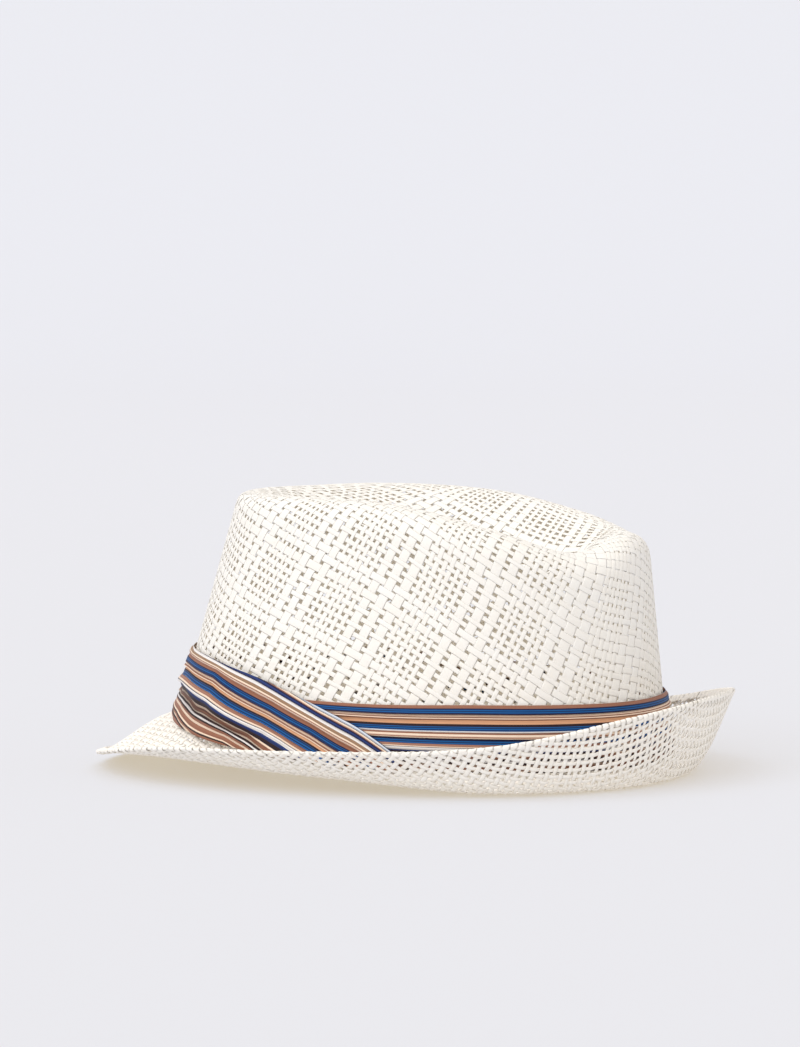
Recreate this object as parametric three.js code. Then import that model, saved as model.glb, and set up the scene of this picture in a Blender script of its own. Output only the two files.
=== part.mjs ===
// A short-brimmed straw trilby with a pleated cloth band, lying at rest on a flat surface.
// Millimetres, +Z up. The front of the hat points along -Y and its left side along +X.
// Directions round the hat are angles in degrees: 0 front, 90 left, 180 back, 270 right.
import * as THREE from "three";
import { mergeVertices } from "three/addons/utils/BufferGeometryUtils.js";

// ---------------------------------------------------------------- driving dimensions
const STRAW = 1.6; // thickness of the woven straw
const SEAT_GAP = 0.3; // clearance between pieces that lie on each other
const WELD = 1e-3; // points closer than this are one

// Plan ovals. Each is centred on the hat's middle plane, shifted along Y.
const CROWN_BASE = { halfLength: 103.9, halfWidth: 86.4, shift: 2.9 };
const CROWN_RIM = { halfLength: 86.7, halfWidth: 66.1, shift: 12.1 };
const BRIM_EDGE = { halfLength: 133.2, halfWidth: 116.2, shift: -0.2 };
const OVAL_POWER = 2.15; // a touch squarer than an ellipse

const VALLEY_RATIO = 0.5; // length of the dent's valley line over the crown's length
const CURL_PLACE = 0.42; // where the brim sags most, from joint 0 to free edge 1
const HEM_SWELL = 0.35; // extra half thickness of the turned hem at the free edge
const HEM_START = 0.93; // the hem covers the brim from here to the free edge

const CROWN_ROUND = 64; // divisions round the crown
const BRIM_ROUND = 72; // divisions round the brim
const WALL_ROWS = 6;
const SHOULDER_ROWS = 4;
const DENT_ROWS = 7;
const BRIM_ROWS = 9;
const AROUND_STEP = 0.5; // degrees either side, for a normal
const CROWN_STEP = 0.1; // rows either side, for a normal of the crown
const BRIM_STEP = 0.02; // of the brim's width either side, for its normal

// One row for each section round the left half; the right half mirrors it, but for its own rim
// height. Heights above the resting surface: joint of crown and brim, crown rim on the left and on
// the right, valley of the dent, free edge of the brim. shoulder is the rounding of the rim, and
// sag is how far the brim hangs below a straight line from joint to free edge.
const SECTIONS = [
  { angle: 0, joint: 19.7, rim: 115.2, rimRight: 115.2, shoulder: 7, valley: 105, edge: 1.0, sag: -4.5 },
  { angle: 30, joint: 17.6, rim: 115.0, rimRight: 115.0, shoulder: 9, valley: 104, edge: 7.6, sag: 3.0 },
  { angle: 60, joint: 12.6, rim: 115.6, rimRight: 115.6, shoulder: 12, valley: 96, edge: 15.2, sag: 4.4 },
  { angle: 90, joint: 8.0, rim: 113.7, rimRight: 113.7, shoulder: 13, valley: 87, edge: 18.1, sag: 5.5 },
  { angle: 120, joint: 5.6, rim: 103.3, rimRight: 106.4, shoulder: 13, valley: 81, edge: 21.3, sag: 10.0 },
  { angle: 150, joint: 4.8, rim: 94.0, rimRight: 100.2, shoulder: 13, valley: 78.5, edge: 30.9, sag: 13.5 },
  { angle: 180, joint: 4.8, rim: 100.8, rimRight: 100.8, shoulder: 11, valley: 78, edge: 35.6, sag: 14.6 },
];

// The band is one pleated strip wound once round the crown. It starts on the left, runs back,
// round the right side and over the front, and its outer end crosses the start and runs down
// behind the brim. turn is the angle travelled, top and foot are heights above the joint, and
// lift is the clearance under the strip, larger where it lies on its own start.
const BAND_COURSE = [
  { turn: 64, foot: 1.5, top: 23.4, lift: 0.3 },
  { turn: 90, foot: 1.5, top: 25.7, lift: 0.3 },
  { turn: 120, foot: 1.5, top: 28.3, lift: 0.3 },
  { turn: 180, foot: 1.5, top: 27.6, lift: 0.3 },
  { turn: 240, foot: 1.5, top: 28.2, lift: 0.3 },
  { turn: 300, foot: 1.5, top: 29.0, lift: 0.3 },
  { turn: 360, foot: 1.5, top: 29.6, lift: 0.3 },
  { turn: 385, foot: 1.5, top: 30.8, lift: 0.5 },
  { turn: 401, foot: 1.5, top: 31.7, lift: 1.4 },
  { turn: 413, foot: 1.5, top: 31.3, lift: 2.4 },
  { turn: 425, foot: 1.5, top: 29.7, lift: 2.6 },
  { turn: 434, foot: 1.5, top: 26.8, lift: 2.6 },
  { turn: 441, foot: 1.5, top: 23.5, lift: 2.6 },
  { turn: 449, foot: 1.5, top: 18.5, lift: 2.6 },
  { turn: 456, foot: 1.5, top: 11.6, lift: 2.6 },
  { turn: 461, foot: 1.5, top: 5.8, lift: 2.6 },
];
const BAND_STEP = 5; // degrees of turn between the band's sections
const BAND_THICKNESS = 1.3;
const PLEAT_COUNT = 4;
const PLEAT_RISE = 0.6; // how far each pleat's fold stands over the one below it
const PLEAT_FOLD = 0.12; // place of the standing fold in a pleat's height
const PLEAT_HOLLOW = 0.9; // place of the hollow under the next pleat

const COLOURS = { straw: 0xf6f2e6, brimStraw: 0xf7f4ea, cloth: 0x8a6350 };

// ---------------------------------------------------------------- curves from the tables
// Smooth value of a table column at a place, by cubic Hermite pieces through its rows.
function tableValue(rows, key, column, place) {
  const last = rows.length - 1;
  let row = 0;
  while (row < last - 1 && place > rows[row + 1][key]) {
    row += 1;
  }
  const slopeAt = (i) => {
    const before = rows[Math.max(i - 1, 0)];
    const after = rows[Math.min(i + 1, last)];
    return (after[column] - before[column]) / (after[key] - before[key]);
  };
  const start = rows[row];
  const end = rows[row + 1];
  const span = end[key] - start[key];
  const t = (place - start[key]) / span;
  const h10 = t * (1 - t) * (1 - t);
  const h11 = t * t * (t - 1);
  const h01 = t * t * (3 - 2 * t);
  return start[column] * (1 - h01) + end[column] * h01 + span * (slopeAt(row) * h10 + slopeAt(row + 1) * h11);
}

// The sections are even about the middle plane, so the table is read with mirrored ends.
const MIRRORED = [
  { ...SECTIONS[1], angle: -SECTIONS[1].angle },
  ...SECTIONS,
  { ...SECTIONS.at(-2), angle: 360 - SECTIONS.at(-2).angle },
];

// A direction as an angle from 0 to 180 and the side, 1 left or -1 right, that it lies on.
function sided(degrees) {
  const turn = ((degrees % 360) + 360) % 360;
  return turn > 180 ? { angle: 360 - turn, side: -1 } : { angle: turn, side: 1 };
}

function section(column, degrees) {
  return tableValue(MIRRORED, "angle", column, sided(degrees).angle);
}

function signedPower(value, power) {
  return Math.sign(value) * Math.abs(value) ** power;
}

// Plan point of an oval, grown outward by an offset.
function ovalPoint(oval, degrees, height, grow = 0) {
  const { angle: halfTurn, side } = sided(degrees);
  const angle = THREE.MathUtils.degToRad(halfTurn);
  const power = 2 / OVAL_POWER;
  return new THREE.Vector3(
    side * (oval.halfWidth + grow) * signedPower(Math.sin(angle), power),
    oval.shift - (oval.halfLength + grow) * signedPower(Math.cos(angle), power),
    height,
  );
}

// ---------------------------------------------------------------- surfaces
const crownFoot = (degrees) => ovalPoint(CROWN_BASE, degrees, section("joint", degrees) + STRAW / 2 + SEAT_GAP);

function crownRim(degrees) {
  const column = sided(degrees).side > 0 ? "rim" : "rimRight";
  return ovalPoint(CROWN_RIM, degrees, section(column, degrees));
}

// Point of the dent's valley that faces a direction: the valley is a line along the middle.
function valleyPoint(degrees) {
  const y = CROWN_RIM.shift + VALLEY_RATIO * (crownRim(degrees).y - CROWN_RIM.shift);
  return new THREE.Vector3(0, y, section("valley", degrees));
}

// Outer surface of the crown, from row 0 at its foot to the valley at the last row.
function crownSurface(degrees, row) {
  const foot = crownFoot(degrees);
  const rim = crownRim(degrees);
  const shoulder = section("shoulder", degrees);
  const down = foot.clone().sub(rim);
  const wallEnd = rim.clone().addScaledVector(down, shoulder / down.length());
  if (row <= WALL_ROWS) {
    return foot.lerp(wallEnd, row / WALL_ROWS);
  }
  const valley = valleyPoint(degrees);
  const inward = valley.clone().sub(rim).setZ(0);
  const topStart = rim.clone().addScaledVector(inward, shoulder / inward.length());
  if (row <= WALL_ROWS + SHOULDER_ROWS) {
    const t = (row - WALL_ROWS) / SHOULDER_ROWS;
    const first = wallEnd.lerp(rim, t);
    return first.lerp(rim.lerp(topStart, t), t);
  }
  const t = (row - WALL_ROWS - SHOULDER_ROWS) / DENT_ROWS;
  const point = topStart.clone().lerp(valley, t);
  point.z = THREE.MathUtils.lerp(topStart.z, valley.z, t * t * (3 - 2 * t));
  return point;
}

// Middle surface of the brim, from 0 at the joint to 1 at the free edge.
function brimSurface(degrees, t) {
  const joint = ovalPoint(CROWN_BASE, degrees, section("joint", degrees));
  if (t < 0) {
    return ovalPoint(CROWN_BASE, degrees, joint.z, -STRAW);
  }
  const point = joint.lerp(ovalPoint(BRIM_EDGE, degrees, section("edge", degrees)), t);
  const falling = ((1 - t) / (1 - CURL_PLACE)) ** ((1 - CURL_PLACE) / CURL_PLACE);
  point.z -= (section("sag", degrees) * t * falling) / CURL_PLACE;
  return point;
}

// Unit normal of a surface, on the left of its travel, by central differences.
function normalOf(surface, degrees, place, step) {
  const around = surface(degrees + AROUND_STEP, place).sub(surface(degrees - AROUND_STEP, place));
  const along = surface(degrees, place + step).sub(surface(degrees, place - step));
  return around.cross(along).normalize();
}

// ---------------------------------------------------------------- closed meshes
// Builds a mesh from rings of points, each a closed loop. The last ring joins the first unless the
// ends are capped. No faces follow the spot that is named as a split, where two skins pass.
function ringMesh(name, rings, material, { capEnds = false, split = -1 }) {
  const positions = [];
  const triangles = [];
  const count = rings[0].length;
  rings.forEach((ring) => ring.forEach((point) => positions.push(point.x, point.y, point.z)));
  const index = (ring, spot) => (ring % rings.length) * count + (spot % count);
  const ringEnd = capEnds ? rings.length - 1 : rings.length;
  for (let ring = 0; ring < ringEnd; ring += 1) {
    for (let spot = 0; spot < count; spot += 1) {
      if (spot === split) {
        continue;
      }
      const corner = [index(ring, spot), index(ring + 1, spot), index(ring + 1, spot + 1), index(ring, spot + 1)];
      triangles.push(corner[0], corner[1], corner[2], corner[0], corner[2], corner[3]);
    }
  }
  if (capEnds) {
    const half = count / 2;
    for (let spot = 0; spot < half - 1; spot += 1) {
      const pair = [spot, spot + 1, count - 2 - spot, count - 1 - spot];
      const far = (rings.length - 1) * count;
      triangles.push(pair[0], pair[1], pair[2], pair[0], pair[2], pair[3]);
      triangles.push(far + pair[0], far + pair[2], far + pair[1], far + pair[0], far + pair[3], far + pair[2]);
    }
  }
  const loose = new THREE.BufferGeometry();
  loose.setAttribute("position", new THREE.Float32BufferAttribute(positions, 3));
  loose.setIndex(triangles);
  const merged = mergeVertices(loose, WELD);
  const kept = [];
  for (let i = 0; i < merged.index.count; i += 3) {
    const [a, b, c] = [merged.index.getX(i), merged.index.getX(i + 1), merged.index.getX(i + 2)];
    if (a !== b && b !== c && c !== a) {
      kept.push(a, b, c);
    }
  }
  merged.setIndex(kept);
  merged.computeVertexNormals();
  const mesh = new THREE.Mesh(merged, material);
  mesh.name = name;
  return mesh;
}

// ---------------------------------------------------------------- pieces
// The crown: a cup of straw with a long dent in its top, open at its foot.
function makeCrown(material) {
  const lastRow = WALL_ROWS + SHOULDER_ROWS + DENT_ROWS;
  const rings = [];
  for (let i = 0; i < CROWN_ROUND; i += 1) {
    const degrees = (360 * i) / CROWN_ROUND;
    const ring = [];
    for (let row = 0; row <= lastRow; row += 1) {
      ring.push(crownSurface(degrees, row));
    }
    for (let row = lastRow; row >= 0; row -= 1) {
      const outer = crownSurface(degrees, row);
      const normal = new THREE.Vector3(0, 0, 1);
      if (row < lastRow) {
        normal.copy(normalOf(crownSurface, degrees, row, CROWN_STEP));
      }
      if (row === 0) {
        normal.setZ(0).normalize();
      }
      ring.push(outer.addScaledVector(normal, -STRAW));
    }
    rings.push(ring);
  }
  return ringMesh("crown", rings, material, { split: lastRow });
}

// The brim: a flat ring of straw, snapped down at the front and curled up at the sides and back,
// with a slightly thicker turned hem. Its underside is pressed flat where it meets the surface.
function makeBrim(material) {
  const places = [-1];
  for (let row = 0; row <= BRIM_ROWS; row += 1) {
    places.push(row / BRIM_ROWS);
  }
  places.splice(places.length - 1, 0, HEM_START);
  const rings = [];
  for (let i = 0; i < BRIM_ROUND; i += 1) {
    const degrees = (360 * i) / BRIM_ROUND;
    const upper = [];
    const lower = [];
    for (const place of places) {
      const middle = brimSurface(degrees, place);
      const normal = new THREE.Vector3(0, 0, 1);
      if (place > 0) {
        normal.copy(normalOf(brimSurface, degrees, Math.min(place, 1 - BRIM_STEP), BRIM_STEP)).negate();
      }
      const half = STRAW / 2 + (place > HEM_START ? HEM_SWELL : 0);
      upper.push(middle.clone().addScaledVector(normal, half));
      const under = middle.clone().addScaledVector(normal, -half);
      under.z = Math.max(under.z, 0);
      lower.push(under);
    }
    rings.push([...lower, ...upper.reverse()]);
  }
  return ringMesh("brim", rings, material, {});
}

// One section of the band: a comb of overlapping pleats outside, plain inside.
function bandSection(turn) {
  const value = (column) => tableValue(BAND_COURSE, "turn", column, turn);
  const base = crownFoot(turn);
  const rim = crownRim(turn);
  const wall = rim.clone().sub(base);
  const normal = normalOf(crownSurface, turn, 1, CROWN_STEP);
  const at = (height, out) =>
    base.clone().addScaledVector(wall, height / wall.z).addScaledVector(normal, out);
  const foot = value("foot");
  const top = value("top");
  const inner = value("lift");
  const outer = inner + BAND_THICKNESS;
  const points = [at(foot, inner), at(foot, outer)];
  for (let pleat = 0; pleat < PLEAT_COUNT; pleat += 1) {
    const fold = foot + ((top - foot) * (pleat + PLEAT_FOLD)) / PLEAT_COUNT;
    const hollow = foot + ((top - foot) * (pleat + PLEAT_HOLLOW)) / PLEAT_COUNT;
    points.push(at(fold, outer + PLEAT_RISE), at(hollow, outer));
  }
  points.push(at(top, outer), at(top, inner));
  const innerPoints = [];
  for (let i = points.length - 3; i > 0; i -= 1) {
    innerPoints.push(at(foot + ((top - foot) * i) / (points.length - 2), inner));
  }
  return [...points, ...innerPoints];
}

function makeBand(material) {
  const rings = [];
  const first = BAND_COURSE[0].turn;
  const last = BAND_COURSE.at(-1).turn;
  const steps = Math.round((last - first) / BAND_STEP);
  for (let i = 0; i <= steps; i += 1) {
    rings.push(bandSection(first + ((last - first) * i) / steps));
  }
  return ringMesh("hatband", rings, material, { capEnds: true });
}

// ---------------------------------------------------------------- the hat
function strawMaterial(colour) {
  return new THREE.MeshStandardMaterial({ color: colour, roughness: 0.75, metalness: 0 });
}

const hat = new THREE.Group();
hat.add(makeCrown(strawMaterial(COLOURS.straw)));
hat.add(makeBrim(strawMaterial(COLOURS.brimStraw)));
hat.add(makeBand(new THREE.MeshStandardMaterial({ color: COLOURS.cloth, roughness: 0.6, metalness: 0 })));

export default hat;
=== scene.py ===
"""A short-brimmed woven straw trilby with a pleated, striped cloth band.

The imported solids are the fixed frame. The crown and the brim are woven here strand by strand on
the same curved surfaces as the solids, and the band is a pleated strip of striped cloth. The front
of the hat points along -Y and its left side along +X. Shapes are worked out in millimetres and
turned into metres where a mesh is made. Directions round the hat are in degrees: 0 front, 90 left,
180 back, 270 right.
"""

import logging
import math
from dataclasses import dataclass, field
from enum import Enum
from typing import Callable, Optional, Sequence, Union

import bpy
import numpy as np
from mathutils import Matrix, Vector

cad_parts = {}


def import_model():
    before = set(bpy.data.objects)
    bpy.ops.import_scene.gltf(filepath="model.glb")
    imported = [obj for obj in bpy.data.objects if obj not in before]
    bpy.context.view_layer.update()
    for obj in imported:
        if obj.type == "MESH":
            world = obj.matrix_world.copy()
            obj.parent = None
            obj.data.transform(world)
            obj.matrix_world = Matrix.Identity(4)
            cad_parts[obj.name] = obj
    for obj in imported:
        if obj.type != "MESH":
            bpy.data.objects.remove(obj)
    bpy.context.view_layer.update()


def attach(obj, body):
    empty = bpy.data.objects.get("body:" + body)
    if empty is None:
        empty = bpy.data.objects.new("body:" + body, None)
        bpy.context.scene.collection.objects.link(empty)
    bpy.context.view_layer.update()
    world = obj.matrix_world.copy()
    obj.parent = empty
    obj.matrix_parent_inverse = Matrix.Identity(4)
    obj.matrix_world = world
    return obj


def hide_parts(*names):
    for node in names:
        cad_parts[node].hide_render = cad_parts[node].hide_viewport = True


Array = np.ndarray
Colour = tuple[float, float, float, float]

LOG = logging.getLogger("trilby")
MM = 0.001
ROOT = "root"
DEGREES = np.linspace(0.0, 360.0, 361)  # directions of the surface tables, once round the hat
CELL = 0.6  # distance between two places of a surface table
FLAT = np.array([1.0, 1.0, 0.0])  # leaves out the height of a vector
KNOT = 0.27  # where a crossing strand is met, as a share of its width from its middle


# ------------------------------------------------------------------ small helpers
def smooth(value: Array) -> Array:
    """Ease from 0 to 1 as the value goes from 0 to 1."""
    t = np.clip(value, 0.0, 1.0)
    return t * t * (3.0 - 2.0 * t)


def unit(vectors: Array) -> Array:
    """Vectors of length one."""
    return vectors / np.maximum(np.linalg.norm(vectors, axis=-1, keepdims=True), 1e-12)


def travelled(points: Array) -> Array:
    """Distance run along each line of points, from its first one."""
    steps = np.linalg.norm(np.diff(points, axis=-2), axis=-1)
    return np.concatenate([np.zeros_like(steps[..., :1]), np.cumsum(steps, -1)], -1)


def linear(red: float, green: float, blue: float) -> Colour:
    """Scene-linear colour of an sRGB colour.

    Args:
        red: red from 0 to 255.
        green: green from 0 to 255.
        blue: blue from 0 to 255.

    Returns:
        The colour with an alpha of 1.
    """

    def one(channel: float) -> float:
        """Scene-linear value of one channel."""
        c = channel / 255.0
        return c / 12.92 if c <= 0.04045 else ((c + 0.055) / 1.055) ** 2.4

    return (one(red), one(green), one(blue), 1.0)


def table_value(places: Array, values: Array, at: Array) -> Array:
    """Value of a table column by cubic Hermite pieces through its rows.

    Args:
        places: the rows' places, rising.
        values: the rows' values.
        at: the places to read.

    Returns:
        One value for each place read.
    """
    at = np.asarray(at, float)
    row = np.clip(np.searchsorted(places, at, side="left") - 1, 0, len(places) - 2)
    order = np.arange(len(places))
    before, after = np.maximum(order - 1, 0), np.minimum(order + 1, len(places) - 1)
    slope = (values[after] - values[before]) / (places[after] - places[before])
    span = places[row + 1] - places[row]
    t = (at - places[row]) / span
    rise = t * t * (3.0 - 2.0 * t)
    bend = slope[row] * t * (1.0 - t) ** 2 + slope[row + 1] * t * t * (t - 1.0)
    return values[row] * (1.0 - rise) + values[row + 1] * rise + span * bend


def half_turn(before: Callable[[Array], Array], like: Array, rounds: int) -> Array:
    """Directions from 0 to 180 up to which a test holds, found by halving.

    Args:
        before: the test, for an array of directions.
        like: an array with one item for each direction sought.
        rounds: how many times the range is halved.

    Returns:
        The directions.
    """
    low, high = np.zeros_like(like), np.full_like(like, 180.0)
    for _ in range(rounds):
        mid = (low + high) / 2
        more = before(mid)
        low, high = np.where(more, mid, low), np.where(more, high, mid)
    return low


# ------------------------------------------------------------------ the hat's curved surfaces
@dataclass(frozen=True)
class Oval:
    """A plan oval centred on the hat's middle plane."""

    half_length: float
    half_width: float
    shift: float
    fullness: float = 2.15  # 2 would be an ellipse

    def point(self, degrees: Array, height: Array) -> Array:
        """Points of the oval.

        Args:
            degrees: directions round the hat, 0 front, 90 left, 180 back.
            height: heights of the points.

        Returns:
            One point for each direction.
        """
        turn = np.mod(degrees, 360.0)
        side = np.where(turn > 180.0, -1.0, 1.0)
        angle = np.radians(np.where(turn > 180.0, 360.0 - turn, turn))
        power = 2.0 / self.fullness
        across = np.abs(np.sin(angle)) ** power
        along = np.sign(np.cos(angle)) * np.abs(np.cos(angle)) ** power
        x = side * self.half_width * across
        y = self.shift - self.half_length * along
        return np.stack(np.broadcast_arrays(x, y, height), -1)


@dataclass(frozen=True)
class HatForm:
    """The curved surfaces of crown and brim, the same as the solids have."""

    straw: float = 1.6
    seat_gap: float = 0.3
    base: Oval = Oval(103.9, 86.4, 2.9)
    rim: Oval = Oval(86.7, 66.1, 12.1)
    edge: Oval = Oval(133.2, 116.2, -0.2)
    valley_ratio: float = 0.5
    curl_place: float = 0.42
    wall_row: float = 6.0  # row of the crown where the wall ends; the foot is row 0
    top_row: float = 10.0  # row where the shoulder ends and the top starts
    angles: tuple[float, ...] = (0, 30, 60, 90, 120, 150, 180)
    joint: tuple[float, ...] = (19.7, 17.6, 12.6, 8.0, 5.6, 4.8, 4.8)
    rim_left: tuple[float, ...] = (115.2, 115.0, 115.6, 113.7, 103.3, 94.0, 100.8)
    rim_right: tuple[float, ...] = (115.2, 115.0, 115.6, 113.7, 106.4, 100.2, 100.8)
    shoulder: tuple[float, ...] = (4.5, 6, 10, 13, 13, 13, 11)
    valley: tuple[float, ...] = (105, 104, 96, 87, 81, 78.5, 78)
    free_edge: tuple[float, ...] = (1.0, 7.6, 15.2, 18.1, 21.3, 30.9, 35.6)
    sag: tuple[float, ...] = (-4.5, 3.0, 4.4, 5.5, 10.0, 13.5, 14.6)

    def column(self, values: Sequence[float], degrees: Array) -> Array:
        """Value of a section column at directions, the same on both sides of the hat.

        Args:
            values: the column, with one value for each section.
            degrees: directions round the hat.

        Returns:
            One value for each direction.
        """
        places = np.array([-self.angles[1], *self.angles, 360.0 - self.angles[-2]], float)
        mirrored = np.array([values[1], *values, values[-2]], float)
        turn = np.mod(degrees, 360.0)
        return table_value(places, mirrored, np.where(turn > 180.0, 360.0 - turn, turn))

    def rim_height(self, degrees: Array) -> Array:
        """Height of the crown's rim, which differs between left and right."""
        right = np.mod(degrees, 360.0) > 180.0
        return np.where(right, self.column(self.rim_right, degrees), self.column(self.rim_left, degrees))

    def crown_foot(self, degrees: Array) -> Array:
        """Outer foot of the crown, just above the joint."""
        return self.base.point(degrees, self.column(self.joint, degrees) + self.straw / 2 + self.seat_gap)

    def crown_rim(self, degrees: Array) -> Array:
        """Corner that the rounded rim of the crown is drawn in."""
        return self.rim.point(degrees, self.rim_height(degrees))

    def valley_point(self, degrees: Array) -> Array:
        """Point of the dent's valley line that faces a direction."""
        y = self.rim.shift + self.valley_ratio * (self.crown_rim(degrees)[..., 1] - self.rim.shift)
        return np.stack([np.zeros_like(y), y, self.column(self.valley, degrees)], -1)

    def crown_lines(self, degrees: Array) -> tuple[Array, Array, Array, Array]:
        """Lines that shape the crown's section in each direction.

        Args:
            degrees: directions round the hat.

        Returns:
            The foot, the end of the wall, the rim corner and the start of the top.
        """
        foot, rim = self.crown_foot(degrees), self.crown_rim(degrees)
        shoulder = self.column(self.shoulder, degrees)[..., None]
        wall_end = rim + unit(foot - rim) * shoulder
        inward = (self.valley_point(degrees) - rim) * FLAT
        return foot, wall_end, rim, rim + unit(inward) * shoulder

    def crown(self, degrees: Array, row: Array) -> Array:
        """Outer surface of wall and shoulder at directions and rows.

        Args:
            degrees: directions round the hat.
            row: rows up the section, from 0 at the foot past the end of the wall to the top.

        Returns:
            The points.
        """
        foot, wall_end, rim, top_start = self.crown_lines(degrees)
        w = np.minimum(row / self.wall_row, 1.0)[..., None]
        t = np.clip((row - self.wall_row) / (self.top_row - self.wall_row), 0.0, 1.0)[..., None]
        curve = (1 - t) ** 2 * wall_end + 2 * t * (1 - t) * rim + t * t * top_start
        return np.where(t > 0.0, curve, foot + (wall_end - foot) * w)

    def brim(self, degrees: Array, place: Array) -> Array:
        """Middle surface of the brim.

        Args:
            degrees: directions round the hat.
            place: places from 0 at the joint to 1 at the free edge.

        Returns:
            The points.
        """
        joint = self.base.point(degrees, self.column(self.joint, degrees))
        edge = self.edge.point(degrees, self.column(self.free_edge, degrees))
        point = joint + (edge - joint) * place[..., None]
        c = self.curl_place
        falling = (np.clip(1.0 - place, 0.0, None) / (1.0 - c)) ** ((1.0 - c) / c)
        point[..., 2] -= self.column(self.sag, degrees) * place * falling / c
        return point


@dataclass
class Line:
    """Points for rising directions, read between them."""

    degrees: Array
    points: Array

    def at(self, degrees: Array, axis: int) -> Array:
        """One coordinate of the line at directions."""
        return np.interp(degrees, self.degrees, self.points[:, axis])


def spread(surface: Callable[[Array, Array], Array], rows: Array, spare: float) -> tuple[Array, Array, Array]:
    """Even places along the sections of a surface.

    Args:
        surface: gives the points of directions and rows.
        rows: the surface's rows, from the start of its table.
        spare: how far the places go on past the longest section.

    Returns:
        The sections' lengths, the places, and their rows in each section.
    """
    run = travelled(surface(*np.meshgrid(DEGREES, rows, indexing="ij")))
    places = np.arange(0.0, run[:, -1].max() + spare, CELL)
    return run[:, -1], places, np.stack([np.interp(places, line, rows) for line in run])


class SurfaceTable:
    """A surface round the hat sampled on an even grid, read by linear interpolation."""

    def __init__(self, points: Array, probe: tuple[int, int, int]) -> None:
        """Keep the points and work out their normals.

        Args:
            points: (directions, places, 3), the last direction repeating the first.
            probe: direction, place and axis at which the normal is positive.
        """
        self.points = points
        ring = np.concatenate([points[-2:-1], points, points[1:2]])
        self.normals = unit(np.cross(ring[2:] - ring[:-2], np.gradient(points, axis=1)))
        if self.normals[probe] < 0:
            self.normals *= -1

    def sample(self, degrees: Array, place: Array) -> tuple[Array, Array]:
        """Points and unit normals.

        Args:
            degrees: directions round the hat.
            place: distances along the second axis of the table.

        Returns:
            The points, and the normals there.
        """
        rows, columns = self.points.shape[:2]
        u = np.mod(degrees, 360.0) / 360.0 * (rows - 1)
        v = np.clip(place / CELL, 0.0, columns - 1.001)
        i, j = np.minimum(np.floor(u).astype(int), rows - 2), np.floor(v).astype(int)
        a, b = (u - i)[..., None], (v - j)[..., None]

        def blend(grid: Array) -> Array:
            """Value of one grid between its four corners."""
            low = grid[i, j] * (1 - b) + grid[i, j + 1] * b
            return low * (1 - a) + (grid[i + 1, j] * (1 - b) + grid[i + 1, j + 1] * b) * a

        return blend(self.points), unit(blend(self.normals))


# ------------------------------------------------------------------ meshes
@dataclass
class MeshPile:
    """Quads gathered from many strands or strips, made one mesh at the end."""

    points: list[Array] = field(default_factory=list)
    quads: list[Array] = field(default_factory=list)
    maps: dict[str, list[Array]] = field(default_factory=dict)
    tones: list[Array] = field(default_factory=list)
    count: int = 0

    def add(self, points: Array, quads: Array, maps: dict[str, Array], tone: Union[float, Array]) -> None:
        """Add one closed body.

        Args:
            points: (n, 3) in millimetres.
            quads: (m, 4) indices of this body's points.
            maps: for each map's name, (m, 4, 2) coordinates.
            tone: the body's own value from 0 to 1, or one for each point; on the band it is painted shade.
        """
        self.points.append(points)
        self.quads.append(quads + self.count)
        for name, values in maps.items():
            self.maps.setdefault(name, []).append(values)
        self.tones.append(np.zeros(len(points)) + tone)
        self.count += len(points)

    def make(self, name: str) -> bpy.types.Object:
        """Make the mesh object.

        Args:
            name: the piece's name.

        Returns:
            The object, at the origin.
        """
        points, quads = np.concatenate(self.points) * MM, np.concatenate(self.quads)
        mesh = bpy.data.meshes.new(name)
        mesh.vertices.add(len(points))
        mesh.vertices.foreach_set("co", points.astype(np.float32).ravel())
        mesh.loops.add(quads.size)
        mesh.loops.foreach_set("vertex_index", quads.astype(np.int32).ravel())
        mesh.polygons.add(len(quads))
        mesh.polygons.foreach_set("loop_start", np.arange(0, quads.size, 4, dtype=np.int32))
        for key, values in self.maps.items():
            layer = mesh.uv_layers.new(name=key)
            layer.data.foreach_set("uv", np.concatenate(values).astype(np.float32).ravel())
        tone = mesh.attributes.new("tone", "FLOAT", "POINT")
        tone.data.foreach_set("value", np.concatenate(self.tones).astype(np.float32))
        mesh.polygons.foreach_set("use_smooth", np.ones(len(quads), dtype=bool))
        mesh.update()
        mesh.validate()
        piece = bpy.data.objects.new(name, mesh)
        bpy.context.scene.collection.objects.link(piece)
        return piece


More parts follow.
